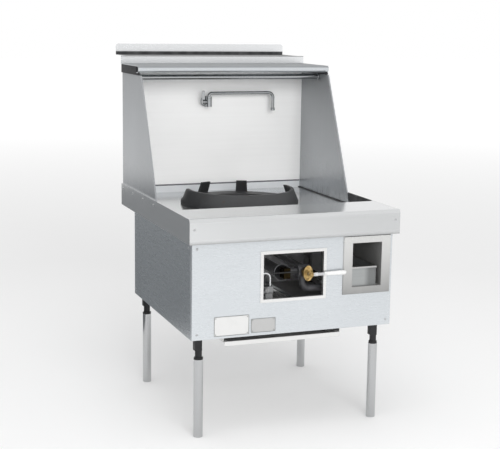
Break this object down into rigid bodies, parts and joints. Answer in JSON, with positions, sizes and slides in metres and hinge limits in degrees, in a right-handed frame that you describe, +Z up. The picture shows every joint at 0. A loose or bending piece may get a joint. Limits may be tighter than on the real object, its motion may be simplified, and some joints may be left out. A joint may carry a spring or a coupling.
{
  "type": "wok range",
  "caption": "Free-standing stainless wok range: a drum burner and cast-iron ring in a drained well, high splash guards, shelves, swing tap, gas valve lever and slide-out drip tray.",
  "frame": {"origin": "on the floor, under the middle of the range's box", "axes": "+Z up, +Y from the front towards the splashback, +X to the right seen from the front"},
  "size_m": [0.904, 1.242, 1.532],
  "materials": {
    "panel_steel": "satin stainless sheet",
    "worktop_steel": "satin stainless sheet",
    "splash_steel": "satin stainless sheet",
    "trim_steel": "bright folded stainless",
    "liner_steel": "dull stainless sheet",
    "frame_paint": "grey painted mild steel",
    "drum_steel": "heat-darkened mild steel",
    "refractory": "dry cast refractory",
    "cast_iron": "dark as-cast iron",
    "black_pipe": "black steam pipe",
    "brass": "turned brass",
    "tube": "bright drawn tube",
    "copper_pipe": "dull copper",
    "chrome": "polished plate",
    "grip": "white moulded sleeve",
    "knob": "grey moulded knob",
    "black_cap": "black moulded end",
    "socket_paint": "black painted casting",
    "leg_steel": "bright stainless tube",
    "screw_steel": "plated screw"
  },
  "bodies": {
    "range_body": {"front_panel": "panel_steel", "right_side_panel": "panel_steel", "left_side_panel": "panel_steel", "rear_panel": "panel_steel", "worktop": "worktop_steel", "right_splash_guard": "splash_steel", "left_splash_guard": "splash_steel", "splashback": "splash_steel", "condiment_shelf": "splash_steel", "top_shelf": "splash_steel", "window_trim": "trim_steel", "recess_bezel": "trim_steel", "utensil_rail": "trim_steel", "recess_liner": "liner_steel", "left_tray_runner": "liner_steel", "right_tray_runner": "liner_steel", "drain_spigot": "liner_steel", "waste_spigot": "liner_steel", "shelf_brackets": "liner_steel", "bay_floors": "liner_steel", "base_frame": "frame_paint", "burner_bars": "frame_paint", "pilot_bracket": "frame_paint", "pipe_clips": "frame_paint", "combustion_drum": "drum_steel", "refractory_lining": "refractory", "burner_head": "cast_iron", "burner_venturi": "cast_iron", "gas_inlet_pipe": "black_pipe", "valve_body": "black_pipe", "valve_bonnet": "brass", "gas_injector": "brass", "pilot_cock": "brass", "pilot_burner": "brass", "pilot_tube": "tube", "pilot_feed_tube": "tube", "water_supply_pipe": "copper_pipe", "tap_flange": "chrome", "tap_body": "chrome", "right_shelf_cap": "black_cap", "left_shelf_cap": "black_cap", "leg_sockets": "socket_paint", "leg_locknuts": "socket_paint", "worktop_screws": "screw_steel", "panel_screws": "screw_steel"},
    "valve_lever": {"valve_stem": "chrome", "valve_lever": "chrome", "lever_grip": "grip"},
    "pilot_knob": {"pilot_knob": "knob"},
    "tap_spout": {"tap_spout": "chrome", "tap_nozzle": "chrome"},
    "tap_handle": {"tap_handle": "chrome"},
    "drip_tray": {"drip_tray": "liner_steel"},
    "waste_basket": {"waste_basket": "liner_steel"},
    "wok_ring": {"wok_ring": "cast_iron"},
    "drain_strainer": {"drain_strainer": "liner_steel"},
    "front_left_leg": {"front_left_leg": "leg_steel"},
    "front_right_leg": {"front_right_leg": "leg_steel"},
    "rear_left_leg": {"rear_left_leg": "leg_steel"},
    "rear_right_leg": {"rear_right_leg": "leg_steel"}
  },
  "joints": [
    {"name": "valve_lever_turn", "type": "hinge", "parent": "range_body", "child": "valve_lever", "pos_m": [0.062, -0.5965, 0.651], "axis": [0, 1, 0], "range_deg": [0, 90]},
    {"name": "pilot_knob_turn", "type": "hinge", "parent": "range_body", "child": "pilot_knob", "pos_m": [-0.111, -0.569, 0.591], "axis": [0, 1, 0], "range_deg": [0, 90]},
    {"name": "tap_spout_swing", "type": "hinge", "parent": "range_body", "child": "tap_spout", "pos_m": [-0.045, 0.366, 1.288], "axis": [0, 0, 1], "range_deg": [-90, 0]},
    {"name": "tap_handle_tilt", "type": "hinge", "parent": "range_body", "child": "tap_handle", "pos_m": [-0.065, 0.366, 1.272], "axis": [1, 0, 0], "range_deg": [0, 80]},
    {"name": "drip_tray_slide", "type": "slide", "parent": "range_body", "child": "drip_tray", "axis": [0, -1, 0], "range_m": [0, 0.45]},
    {"name": "waste_basket_slide", "type": "slide", "parent": "range_body", "child": "waste_basket", "axis": [0, -1, 0], "range_m": [0, 0.2]},
    {"name": "wok_ring_lift", "type": "slide", "parent": "range_body", "child": "wok_ring", "axis": [0, 0, 1], "range_m": [0, 0.3]},
    {"name": "drain_strainer_lift", "type": "slide", "parent": "range_body", "child": "drain_strainer", "axis": [0, 0, 1], "range_m": [0, 0.08]},
    {"name": "front_left_leg_levelling", "type": "slide", "parent": "range_body", "child": "front_left_leg", "axis": [0, 0, -1], "range_m": [0, 0.025]},
    {"name": "front_right_leg_levelling", "type": "slide", "parent": "range_body", "child": "front_right_leg", "axis": [0, 0, -1], "range_m": [0, 0.025]},
    {"name": "rear_left_leg_levelling", "type": "slide", "parent": "range_body", "child": "rear_left_leg", "axis": [0, 0, -1], "range_m": [0, 0.025]},
    {"name": "rear_right_leg_levelling", "type": "slide", "parent": "range_body", "child": "rear_right_leg", "axis": [0, 0, -1], "range_m": [0, 0.025]}
  ]
}
